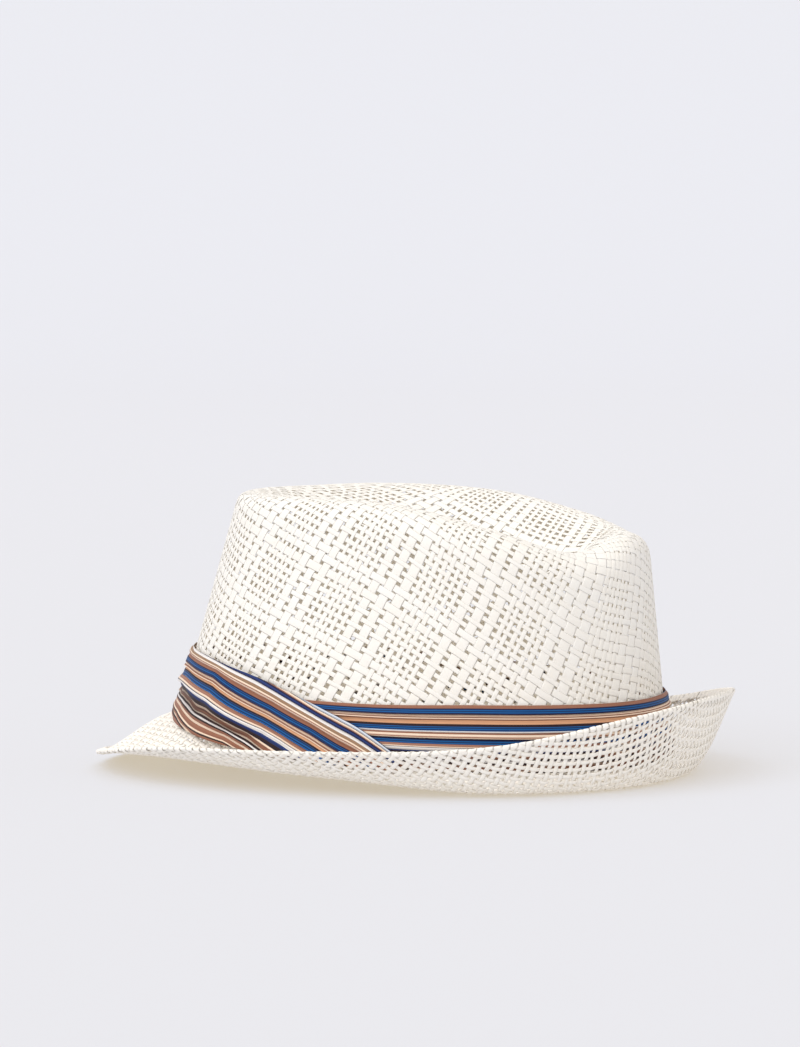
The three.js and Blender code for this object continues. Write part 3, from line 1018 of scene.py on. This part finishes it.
@dataclass
class PleatedBand:
    """The band: a long strip of striped cloth in pleats, wound round the crown over its own start."""

    form: HatForm
    turns: tuple[float, ...] = (64, 90, 120, 180, 240, 300, 360, 385, 401, 413, 425, 434, 441, 449, 456, 461)
    tops: tuple[float, ...] = (23.4, 25.7, 28.3, 27.6, 28.2, 29.0, 29.6, 30.8, 31.7, 31.3, 29.7, 26.8, 23.5,
                               18.5, 11.6, 5.8)
    lifts: tuple[float, ...] = (.3, .3, .3, .3, .3, .3, .3, .5, 1.4, 2.4, 2.6, 2.6, 2.6, 2.6, 2.6, 2.6)
    # the width of cloth that is folded away at the top, at directions travelled
    tucked: tuple[tuple[float, ...], ...] = ((250, 340, 360, 380, 390, 407, 417, 425, 438.5, 443, 461),
                                             (0, 4.9, 5.3, 5.3, 4.3, 3.9, 3.3, 2.9, 1.0, 0.3, 0.0))
    # where three lines of the cloth run on the outer end: directions past the front, and heights
    marks: tuple[tuple[float, tuple[float, ...], tuple[float, ...]], ...] = (
        (11.1, (12, 32.5, 50, 71, 82.5, 90.5, 101), (25.6, 26.2, 26.2, 18.8, 12.5, 5.7, -4.0)),
        (20.0, (12, 32.5, 49, 57.5, 70, 75, 81.5, 101), (16.6, 17.2, 15.8, 13.0, 9.6, 7.0, 2.4, -14.0)),
        (25.6, (12, 31.5, 43.5, 51.5, 59.5, 66.5, 101), (9.4, 9.2, 6.8, 6.0, 5.0, 2.2, -24.0)),
    )
    slants: float = 372.0  # direction travelled from which the cloth follows those lines
    beyond: float = 14.0  # width of cloth that is laid out past the last line
    foot: float = 1.5
    cloth: float = 0.5  # thickness of the gathered cloth at a pleat's hollow
    rise: float = 1.5  # how far a pleat's fold stands out
    folds: tuple[float, ...] = (8, 13, 18, 22, 26, 30, 36, 41, 45, 50)  # stripes after which a pleat folds
    edging: float = 1.6  # width of cloth over which the relief dies out at the edges
    shade: float = 0.38  # painted shade: how much darker the strip is at its foot
    # heights up to which the painted shade at the foot reaches, at directions travelled
    shaded: tuple[tuple[float, ...], ...] = ((64, 90, 150, 180, 240, 300, 340), (4, 10, 17, 18, 14, 8, 0.01))
    parts: int = 3  # rows of the mesh to a stripe
    step: float = 1.35  # degrees between two sections

    def course(self, values: Sequence[float], turn: Array) -> Array:
        """Value of a column of the strip's table at directions travelled."""
        return table_value(np.array(self.turns, float), np.array(values, float), turn)

    def heights(self, turn: Array) -> tuple[Array, Array, Array]:
        """How the stripes lie on each section of the strip.

        Args:
            turn: the sections' directions travelled.

        Returns:
            For each section the cloth coordinates of its rows, the heights above the crown's foot
            and the stripe numbers with their fractions.
        """
        top = self.course(self.tops, turn)
        share = smooth((turn - 250.0) / 90.0)
        rear = np.cumsum([0.0, *(max(stripe.rear, 1e-4) for stripe in STRIPES)])
        sash = np.cumsum([0.0, *(max(stripe.sash, 1e-4) for stripe in STRIPES)])
        hidden = np.interp(turn, *self.tucked)
        whole = np.arange(len(STRIPES) + 1)
        feet = self.brim_heights(turn)
        number = np.linspace(0.0, len(STRIPES), len(STRIPES) * self.parts + 1)
        rows = []
        for i, angle in enumerate(turn):
            edges = rear + (sash - rear) * share[i]
            known_c, known_h = self.guides(float(angle), float(top[i]), float(hidden[i]), float(edges[-1]))
            bottom = float(np.interp(-feet[i], -known_h, known_c))
            first, last = np.interp([hidden[i], bottom], edges, whole)
            kept = np.clip(number, first, last)
            c = np.interp(kept, whole, edges) + np.arange(len(number)) * 1e-5
            rows.append((c, np.interp(c, known_c, known_h), kept))
        return tuple(np.array(column) for column in zip(*rows))

    def brim_heights(self, turn: Array) -> Array:
        """Height above the crown's foot where the cloth meets the brim, a little way out.

        Args:
            turn: the sections' directions travelled.

        Returns:
            One height for each section.
        """
        form = self.form
        joint, edge = form.brim(turn, np.zeros(len(turn))), form.brim(turn, np.ones(len(turn)))
        wide = np.linalg.norm((edge - joint)[:, :2], axis=1)
        brim = form.brim(turn, (self.course(self.lifts, turn) + self.cloth + 0.5) / wide)[:, 2]
        return np.clip(brim + form.straw / 2 - form.crown_foot(turn)[:, 2], 0.6, self.foot)

    def guides(self, turn: float, top: float, hidden: float, full: float) -> tuple[Array, Array]:
        """Heights of a few cloth coordinates on one section.

        Args:
            turn: direction travelled.
            top: height of the strip's top edge there.
            hidden: cloth coordinate of the top edge.
            full: the cloth's whole visible width.

        Returns:
            Cloth coordinates and their heights, falling.
        """
        plain_c, plain_h = np.array([hidden, full]), np.array([top, self.foot])
        if turn < self.slants:
            return plain_c, plain_h
        c, h = [hidden], [top]
        for coordinate, angles, values in self.marks:
            level = float(np.interp(turn - 360.0, angles, values))
            if level < h[-1] - 0.3:
                c.append(coordinate)
                h.append(level)
        slope = (h[-1] - h[-2]) / (c[-1] - c[-2])
        c.append(c[-1] + self.beyond)
        h.append(h[-1] + self.beyond * min(slope, -0.8))
        mix = float(smooth(np.array((turn - self.slants) / 18.0)))
        places = np.linspace(hidden, max(full, hidden + 20.0), 60)
        plain = np.interp(places, plain_c, plain_h)
        plain = np.where(places > full, self.foot - (places - full), plain)
        return places, plain * (1 - mix) + np.interp(places, c, h) * mix

    def relief(self, number: Array, turn: Array) -> Array:
        """How far the cloth stands out over its hollows, from its stripe numbers.

        Args:
            number: stripe numbers with fractions, a row for each section.
            turn: the sections' directions travelled.

        Returns:
            Distances in millimetres.
        """
        out = np.zeros_like(number)
        marks = [0.0, *self.folds, float(len(STRIPES))]
        for k, (a, b) in enumerate(zip(marks[:-1], marks[1:])):
            t = (number - a) / (b - a)
            tilt = 0.75 + 0.25 * np.sin(np.radians(turn) * 2.3 + 1.9 * k)[:, None]
            swell = tilt * (0.25 + 0.75 * np.sin(np.clip(t, 0, 1) * 1.9))
            out = np.where((number >= a) & (number < b), swell, out)
        return out * self.rise

    def crease(self, number: Array, turn: Array) -> Array:
        """Depth, from 0 to 1, of the pinched crease that runs down the outer end.

        Args:
            number: stripe numbers with fractions, a row for each section.
            turn: the sections' directions travelled.

        Returns:
            One value for each point.
        """
        middle = np.interp(turn, [352, 372, 392, 415, 432], [36.0, 38.0, 39.5, 40.0, 40.0])[:, None]
        middle = middle + 0.5 * np.sin(np.radians(turn) * 21.0)[:, None]
        half = np.interp(turn, [352, 375, 400, 430], [1.0, 2.0, 3.0, 1.6])[:, None]
        run = smooth((turn - 350.0) / 18.0) * smooth((436.0 - turn) / 16.0)
        return np.exp(-((number - middle) / half) ** 2 * 1.6) * run[:, None]

    def skins(self, turn: Array, c: Array, height: Array, number: Array) -> tuple[Array, Array, Array]:
        """The cloth's two faces over the crown's wall.

        Args:
            turn: the sections' directions travelled.
            c: cloth coordinates, a row for each section.
            height: heights of the points above the crown's foot.
            number: their stripe numbers.

        Returns:
            Points of the outer and of the inner face, and the sections' normals.
        """
        lift = self.course(self.lifts, turn)[:, None]
        foot, rim = self.form.crown_foot(turn), self.form.crown_rim(turn)
        wall = (rim - foot) / (rim - foot)[:, 2:]
        ahead = self.form.crown_foot(turn + 0.5) - self.form.crown_foot(turn - 0.5)
        normal = unit(np.cross(ahead, wall))
        normal = normal * np.sign((normal * (foot * FLAT)).sum(-1))[:, None]
        held = smooth((c - c[:, :1]) / self.edging) * (0.4 + 0.6 * smooth((c[:, -1:] - c) / self.edging))
        out = lift + self.cloth * (0.3 + 0.7 * held) + self.relief(number, turn) * held
        crease = self.crease(number, turn)
        above = self.crease(number + 4.0, turn)
        out = np.maximum(out - 1.7 * crease + 0.9 * above * held, lift + 0.2)
        rumple = np.sin(np.radians(turn) * 23.0) + 0.7 * np.sin(np.radians(turn) * 39.0 + 1.0)
        base = foot[:, None] + wall[:, None] * (height + 0.25 * rumple[:, None] * crease)[..., None]
        inner = base + normal[:, None] * (lift + 0.05)[..., None]
        return base + normal[:, None] * out[..., None], inner, normal

    def painted_shade(self, turn: Array, height: Array, number: Array) -> Array:
        """Painted shade: how much darker the cloth is painted in its crease and towards its foot.

        Args:
            turn: the sections' directions travelled.
            height: heights above the crown's foot.
            number: stripe numbers with fractions, a row for each section.

        Returns:
            One value from 0 to 1 for each point.
        """
        fine = 0.5 + 0.5 * np.sin(number * 9.0 + np.radians(turn)[:, None] * 14.0)
        half = 0.5 * np.interp(turn, *self.shaded)[:, None]
        shade = self.shade * (1.0 - smooth((height - half) / half))
        return np.clip(np.maximum(self.crease(number, turn) * (0.4 + 0.6 * fine), shade), 0.0, 0.85)

    def build(self) -> bpy.types.Object:
        """Make the strip of cloth.

        Returns:
            The strip's object.
        """
        turn = np.arange(self.turns[0], self.turns[-1] + 0.01, self.step)
        c, height, number = self.heights(turn)
        outer, inner, normal = self.skins(turn, c, height, number)

        def both(values: Array) -> Array:
            """Values of the outer face, gone through again backwards for the inner one."""
            return np.concatenate([values, values[:, ::-1]], 1)

        skin = np.concatenate([outer, inner[:, ::-1]], 1)
        count, wide = skin.shape[:2]
        index = np.arange(count * wide).reshape(count, wide)
        following = np.roll(index, -1, axis=1)
        sides = np.stack([index[:-1], following[:-1], following[1:], index[1:]], -1).reshape(-1, 4)
        half = wide // 2
        ends = []
        for line, order in ((index[0], 1), (index[-1], -1)):
            back = line[::-1]
            caps = np.stack([line[:half - 1], line[1:half], back[1:half], back[:half - 1]], -1)
            ends.append(caps[:, ::order])
        quads = np.concatenate([sides, *ends])
        stripe = (both(number) / len(STRIPES)).ravel()[quads]
        across = (both(c) / 10).ravel()[quads]
        along = np.repeat(travelled(self.form.crown_foot(turn))[:, None] / 10, wide, 1).ravel()[quads]
        maps = {"stripes": np.stack([along / 70, stripe], -1), "cloth": np.stack([along, across], -1)}
        points = skin.reshape(-1, 3)
        middle = 30  # a section whose first faces show which way all face
        p = points[quads[half // 2 + wide * middle]]
        if np.cross(p[1] - p[0], p[3] - p[0]) @ normal[middle] < 0:
            quads = quads[:, ::-1]
            maps = {name: values[:, ::-1] for name, values in maps.items()}
        pile = MeshPile()
        pile.add(points, quads, maps, both(self.painted_shade(turn, height, number)).ravel())
        return pile.make("band_cloth")


# ------------------------------------------------------------------ shader writing
class Wire:
    """One output of a node, with arithmetic that adds Math nodes."""

    def __init__(self, shader: "Shader", socket: bpy.types.NodeSocket) -> None:
        """Keep the shader that the socket belongs to."""
        self.shader = shader
        self.socket = socket

    @staticmethod
    def operator(operation: str, swapped: bool = False) -> Callable[["Wire", "Value"], "Wire"]:
        """Arithmetic with one further value, which comes first where swapped."""
        return lambda wire, other: wire.shader.calc(operation, *((other, wire) if swapped else (wire, other)))

    __add__ = operator("ADD")
    __radd__ = operator("ADD", swapped=True)
    __sub__ = operator("SUBTRACT")
    __mul__ = operator("MULTIPLY")
    __truediv__ = operator("DIVIDE")
    __gt__ = operator("GREATER_THAN")


Value = Union[Wire, float, int]


class Shader:
    """A material under construction."""

    def __init__(self, name: str) -> None:
        """Start a material with only its output.

        Args:
            name: the material's name.
        """
        self.material = bpy.data.materials.new(name)
        self.material.use_nodes = True
        self.tree = self.material.node_tree
        self.tree.nodes.clear()

    def node(self, kind: str, settings: Optional[dict] = None,
             sockets: Optional[dict] = None) -> bpy.types.Node:
        """Make a node.

        Args:
            kind: the node's type.
            settings: its properties.
            sockets: values or wires of its inputs, by name or number.

        Returns:
            The node.
        """
        made = self.tree.nodes.new(kind)
        for key, value in (settings or {}).items():
            setattr(made, key, value)
        for key, value in (sockets or {}).items():
            if isinstance(value, Wire):
                self.tree.links.new(value.socket, made.inputs[key])
            else:
                made.inputs[key].default_value = value
        return made

    def out(self, node: bpy.types.Node, name: Union[str, int] = 0) -> Wire:
        """One output of a node as a wire."""
        return Wire(self, node.outputs[name])

    def calc(self, operation: str, *values: Value) -> Wire:
        """Result of a Math node on values."""
        return self.out(self.node("ShaderNodeMath", {"operation": operation}, dict(enumerate(values))))

    def mix(self, factor: Value, first: object, second: object) -> Wire:
        """Mix of two colours or wires, the factor being the share of the second."""
        made = self.node("ShaderNodeMix", {"data_type": "RGBA"}, {0: factor, 6: first, 7: second})
        return self.out(made, 2)

    def ramp(self, value: Wire, colours: Sequence[Colour]) -> Wire:
        """Stripes of even width, one for each colour, over values from 0 to 1.

        Args:
            value: wire of the values.
            colours: the stripes' colours in order.

        Returns:
            Wire of the colour.
        """
        made = self.node("ShaderNodeValToRGB", {}, {0: value})
        made.color_ramp.interpolation = "CONSTANT"
        stops = made.color_ramp.elements
        stops.remove(stops[-1])
        for i, colour in enumerate(colours):
            stop = stops.new(i / len(colours)) if i else stops[0]
            stop.position, stop.color = i / len(colours), colour
        return self.out(made)

    def uv(self, name: str) -> Wire:
        """Coordinates of one of the piece's maps."""
        return self.out(self.node("ShaderNodeUVMap", {"uv_map": name}))

    def tone(self) -> Wire:
        """The value that the mesh carries at each point: a strand's own tone, or the band's painted shade."""
        return self.out(self.node("ShaderNodeAttribute", {"attribute_name": "tone"}), 2)

    def scaled(self, coordinates: Wire, scale: tuple[float, float, float]) -> Wire:
        """Coordinates times a scale for each axis."""
        made = self.node("ShaderNodeVectorMath", {"operation": "MULTIPLY"}, {0: coordinates, 1: scale})
        return self.out(made)

    def noise(self, coordinates: Wire, scale: float, detail: float = 2.0, rough: float = 0.5) -> Wire:
        """Noise from 0 to 1."""
        return self.out(self.node("ShaderNodeTexNoise", {}, {
            "Vector": coordinates, "Scale": scale, "Detail": detail, "Roughness": rough}))

    def between(self, value: Wire, low: float, high: float, start: float = 0.0, end: float = 1.0) -> Wire:
        """Value mapped from one span to another and held inside it."""
        return self.out(self.node("ShaderNodeMapRange", {"clamp": True}, {
            0: value, 1: low, 2: high, 3: start, 4: end}))

    def bump(self, height: Wire, strength: float, distance: float) -> Wire:
        """Normal of a height in 0 to 1 that stands for a distance in metres."""
        return self.out(self.node("ShaderNodeBump", {}, {
            "Strength": strength, "Distance": distance, "Height": height}))

    def finish(self, sockets: dict, through: float = 0.0,
               tint: Optional[Colour] = None) -> bpy.types.Material:
        """Join a Principled shader to the output.

        Args:
            sockets: values or wires of the shader's inputs.
            through: share of the light that passes through.
            tint: colour of that light.

        Returns:
            The material.
        """
        shader = self.node("ShaderNodeBsdfPrincipled", {}, sockets)
        end = self.node("ShaderNodeOutputMaterial")
        if through > 0.0:
            glow = self.node("ShaderNodeBsdfTranslucent", {}, {"Color": tint})
            both = self.node("ShaderNodeMixShader", {}, {0: through})
            self.tree.links.new(shader.outputs[0], both.inputs[1])
            self.tree.links.new(glow.outputs[0], both.inputs[2])
            shader = both
        self.tree.links.new(shader.outputs[0], end.inputs[0])
        return self.material


# ------------------------------------------------------------------ finishes
@dataclass(frozen=True)
class StrawFinish:
    """Bleached paper straw: a faint grain along each strand and small differences of tone."""

    name: str
    light: Colour = linear(251, 250, 248)
    dull: Colour = linear(248, 244, 237)
    tint: Colour = linear(254, 244, 222)  # of the light that passes through
    rough: float = 0.62
    relief: float = 0.35
    depth: float = 0.00025  # of the grain, in metres
    through: float = 0.1  # share of the light that passes through a strand

    def material(self) -> bpy.types.Material:
        """Make the material.

        Returns:
            The material.
        """
        s = Shader(self.name)
        grain = s.uv("grain")
        streaks = s.noise(s.scaled(grain, (1.2, 26.0, 1.0)), 2.0, 3.0, 0.6)
        blotch = s.noise(grain, 1.3)
        worn = s.between(streaks, 0.35, 0.75) * 0.45 + s.tone() * 0.3 + s.between(blotch, 0.4, 0.7) * 0.25
        return s.finish({"Base Color": s.mix(worn, self.light, self.dull),
                         "Roughness": self.rough + (streaks - 0.5) * 0.25, "Specular IOR Level": 0.35,
                         "Normal": s.bump(streaks, self.relief, self.depth)}, self.through, self.tint)


@dataclass(frozen=True)
class ClothFinish:
    """Striped satin cloth: dyed stripes, fine cross threads, thin lines in the blue and painted shade."""

    name: str = "striped_cloth"
    sheen: float = 0.03
    rough: float = 0.55
    relief: float = 0.3
    depth: float = 0.00012  # of the threads, in metres
    slub: Colour = linear(48, 34, 40)
    rib: Colour = linear(16, 20, 58)
    # colour of the painted shade in the crease and towards the foot
    crease: Colour = linear(44, 24, 20)
    first_stripes: int = 27  # a ramp holds at most 32 stripes, so the rest are on a second one

    def material(self) -> bpy.types.Material:
        """Make the material.

        Returns:
            The material.
        """
        s = Shader(self.name)
        cloth = s.uv("cloth")
        place = s.out(s.node("ShaderNodeSeparateXYZ", {}, {0: s.uv("stripes")}), 1)
        count, split, turn = len(STRIPES), self.first_stripes, 2 * math.pi
        dyes = [linear(*stripe.dye.value) for stripe in STRIPES]
        ramps = []
        for first, group in ((0, dyes[:split]), (split, dyes[split:])):
            ramps.append(s.ramp((place - first / count) / (len(group) / count), group))
        colour = s.mix(place > split / count, *ramps)
        axes = s.node("ShaderNodeSeparateXYZ", {}, {0: cloth})
        along, across = s.out(axes, 0), s.out(axes, 1)
        twill = s.calc("SINE", (along * 22.0 + across * 46.0) * turn)
        weft = s.calc("SINE", across * (60.0 * turn))
        slub = s.noise(s.scaled(cloth, (0.6, 30.0, 1.0)), 3.0)
        colour = s.mix(s.between(slub, 0.3, 0.75, 0.0, 0.2) + twill * 0.03, colour, self.slub)
        parts = s.node("ShaderNodeSeparateColor", {}, {0: colour})
        blue = s.between(s.out(parts, 2) - s.out(parts, 0), 0.12, 0.2, 0.15, 0.92)
        ribs = s.between(s.calc("SINE", across * (11.5 * turn)), -0.1, 0.5)
        # the band's tone is its painted shade, mixed towards the crease colour
        colour = s.mix(s.tone(), s.mix(ribs * blue, colour, self.rib), self.crease)
        height = twill * 0.35 + weft * 0.35 + slub
        return s.finish({"Base Color": colour, "Roughness": self.rough, "Specular IOR Level": 0.2,
                         "Sheen Weight": self.sheen, "Sheen Roughness": 0.4,
                         "Normal": s.bump(height, self.relief, self.depth)})


@dataclass(frozen=True)
class FloorFinish:
    """Plain matte backdrop paper."""

    colour: Colour = (0.31, 0.384, 0.532, 1.0)
    glow: Colour = (0.44, 0.36, 0.24, 1.0)  # the paper gives off this light, so its shadows stay pale
    rough: float = 0.9
    specular: float = 0.1

    def material(self) -> bpy.types.Material:
        """Make the material.

        Returns:
            The material.
        """
        return Shader("backdrop_paper").finish({
            "Base Color": self.colour, "Roughness": self.rough, "Specular IOR Level": self.specular,
            "Emission Color": self.glow, "Emission Strength": 1.0})


# ------------------------------------------------------------------ the set
@dataclass(frozen=True)
class Studio:
    """Plain floor, soft lights and the camera."""

    azimuth: float = 0.36
    elevation: float = 0.118
    distance: float = 2.2
    lens: float = 237.6
    aim_right: float = -0.0092
    aim_up: float = 0.1015
    centre: tuple[float, float, float] = (0.0, 0.0029, 0.0)
    floor_width: float = 14.0
    floor_front: float = 5.0
    floor_back: float = 3.2
    sweep: float = 1.6  # radius of the bend up into the backdrop
    sweep_steps: int = 24
    backdrop: float = 3.0
    drop: float = 0.0003  # of the floor under the hat

    def axes(self) -> tuple[Vector, Vector, Vector]:
        """Directions towards the camera, to its right and up.

        Returns:
            The three unit vectors.
        """
        a, e = self.azimuth, self.elevation
        towards = Vector((math.cos(e) * math.cos(a), math.cos(e) * math.sin(a), math.sin(e)))
        right = Vector((-math.sin(a), math.cos(a), 0.0))
        up = Vector((-math.sin(e) * math.cos(a), -math.sin(e) * math.sin(a), math.cos(e)))
        return towards, right, up

    def look(self, place: Vector, target: Vector) -> Matrix:
        """Placing of a camera or light at a place that looks at a target."""
        turn = (target - place).to_track_quat("-Z", "Y")
        return Matrix.Translation(place) @ turn.to_matrix().to_4x4()

    def camera(self) -> bpy.types.Object:
        """Make the camera.

        Returns:
            The camera.
        """
        towards, right, up = self.axes()
        place = Vector(self.centre) + towards * self.distance
        target = Vector(self.centre) + right * self.aim_right + up * self.aim_up
        data = bpy.data.cameras.new("camera")
        data.lens, data.sensor_width, data.sensor_fit = self.lens, 36.0, "HORIZONTAL"
        made = bpy.data.objects.new("camera", data)
        made.matrix_world = self.look(place, target)
        bpy.context.scene.collection.objects.link(made)
        bpy.context.scene.camera = made
        return made

    def floor(self) -> bpy.types.Object:
        """Make the floor, which sweeps up into a backdrop far behind the hat.

        Returns:
            The floor.
        """
        bpy.ops.object.select_all(action="DESELECT")
        bpy.ops.mesh.primitive_plane_add(size=1.0)
        made = bpy.context.active_object
        made.name = "floor"
        towards, right, _ = self.axes()
        towards = Vector((towards.x, towards.y, 0.0)).normalized()
        turn = Matrix((right, towards, Vector((0.0, 0.0, 1.0)))).transposed()
        bpy.ops.object.mode_set(mode="EDIT")
        bpy.ops.mesh.select_all(action="SELECT")
        bpy.ops.transform.resize(value=(self.floor_width, self.floor_front + self.floor_back, 1.0))
        bpy.ops.transform.translate(value=(0.0, (self.floor_front - self.floor_back) / 2, -self.drop))
        bpy.ops.mesh.select_all(action="DESELECT")
        bpy.ops.object.mode_set(mode="OBJECT")
        for edge in made.data.edges:
            edge.select = all(made.data.vertices[v].co.y < 0.0 for v in edge.vertices)
        bpy.ops.object.mode_set(mode="EDIT")
        bpy.ops.mesh.select_mode(type="EDGE")
        bends = [math.pi / 2 * k / self.sweep_steps for k in range(self.sweep_steps + 1)]
        for a, b in zip(bends, bends[1:]):
            back, rise = math.sin(b) - math.sin(a), math.cos(a) - math.cos(b)
            move = (0.0, -self.sweep * back, self.sweep * rise)
            bpy.ops.mesh.extrude_region_move(TRANSFORM_OT_translate={"value": move})
        bpy.ops.mesh.extrude_region_move(TRANSFORM_OT_translate={"value": (0.0, 0.0, self.backdrop)})
        bpy.ops.mesh.select_all(action="SELECT")
        bpy.ops.mesh.normals_make_consistent(inside=False)
        bpy.ops.object.mode_set(mode="OBJECT")
        made.data.transform(turn.to_4x4())
        if made.data.polygons[0].normal.z < 0:
            made.data.flip_normals()
        bpy.ops.object.shade_smooth()
        made.data.materials.append(FloorFinish().material())
        return made

    def light(self, name: str, way: Vector, softness: float, strength: float,
              colour: tuple[float, float, float]) -> None:
        """Make a broad even light that comes from one direction.

        Args:
            name: the light's name.
            way: direction that it comes from.
            softness: its width in degrees.
            strength: its strength.
            colour: its colour.
        """
        data = bpy.data.lights.new(name, "SUN")
        data.angle, data.energy, data.color = math.radians(softness), strength, colour
        made = bpy.data.objects.new(name, data)
        made.matrix_world = self.look(way.normalized() * 3.0, Vector((0.0, 0.0, 0.0)))
        bpy.context.scene.collection.objects.link(made)

    def lights(self) -> None:
        """Make the lights and the even glow of the room."""
        towards, right, _ = self.axes()
        up = Vector((0.0, 0.0, 1.0))
        self.light("key", towards * 0.8 - right * 0.8 + up * 1.1, 55.0, 0.86, (0.97, 0.985, 1.0))
        self.light("fill", towards - right * 0.5 + up * 0.06, 80.0, 0.58, (1.0, 0.98, 0.95))
        self.light("overhead", towards * 0.15 + up, 80.0, 0.5, (1.0, 1.0, 1.0))
        world = bpy.data.worlds.new("room")
        world.use_nodes = True
        glow = world.node_tree.nodes["Background"]
        glow.inputs["Color"].default_value = (1.0, 0.955, 0.9, 1.0)
        glow.inputs["Strength"].default_value = 0.83
        bpy.context.scene.world = world
        bpy.context.scene.view_settings.view_transform = "Standard"


def report(name: str, pieces: Sequence[bpy.types.Object]) -> None:
    """Log the pieces of a sub-assembly with their sizes.

    Args:
        name: the sub-assembly's name.
        pieces: its objects.
    """
    for piece in pieces:
        faces = sum(len(p.vertices) - 2 for p in piece.data.polygons)
        LOG.info("%s: %s, %d triangles", name, piece.name, faces)


def plain(bounds: Sequence[Sequence[float]]) -> list[list[float]]:
    """A box as plain lists of numbers."""
    return [[float(v) for v in corner] for corner in bounds]


def main() -> None:
    """Build the hat piece by piece around the frame."""
    logging.basicConfig(level=logging.INFO, format="%(message)s")
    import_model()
    studio = Studio()
    studio.camera()
    studio.floor()
    studio.lights()

    form = HatForm()
    crown = CrownWeave(form).build()
    finish = StrawFinish("crown_straw").material()
    for piece in crown:
        piece.data.materials.append(finish)
        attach(piece, ROOT)
        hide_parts("crown")
    report("crown", crown)

    brim = BrimWeave(form).build()
    finish = StrawFinish("brim_straw", linear(254, 251, 246), linear(250, 244, 234), through=0.0).material()
    for piece in brim:
        piece.data.materials.append(finish)
        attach(piece, ROOT)
        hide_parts("brim")
    report("brim", brim)

    band = PleatedBand(form).build()
    band.data.materials.append(ClothFinish().material())
    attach(band, ROOT)
    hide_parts("hatband")
    report("band", [band])


if __name__ == "__main__":
    main()
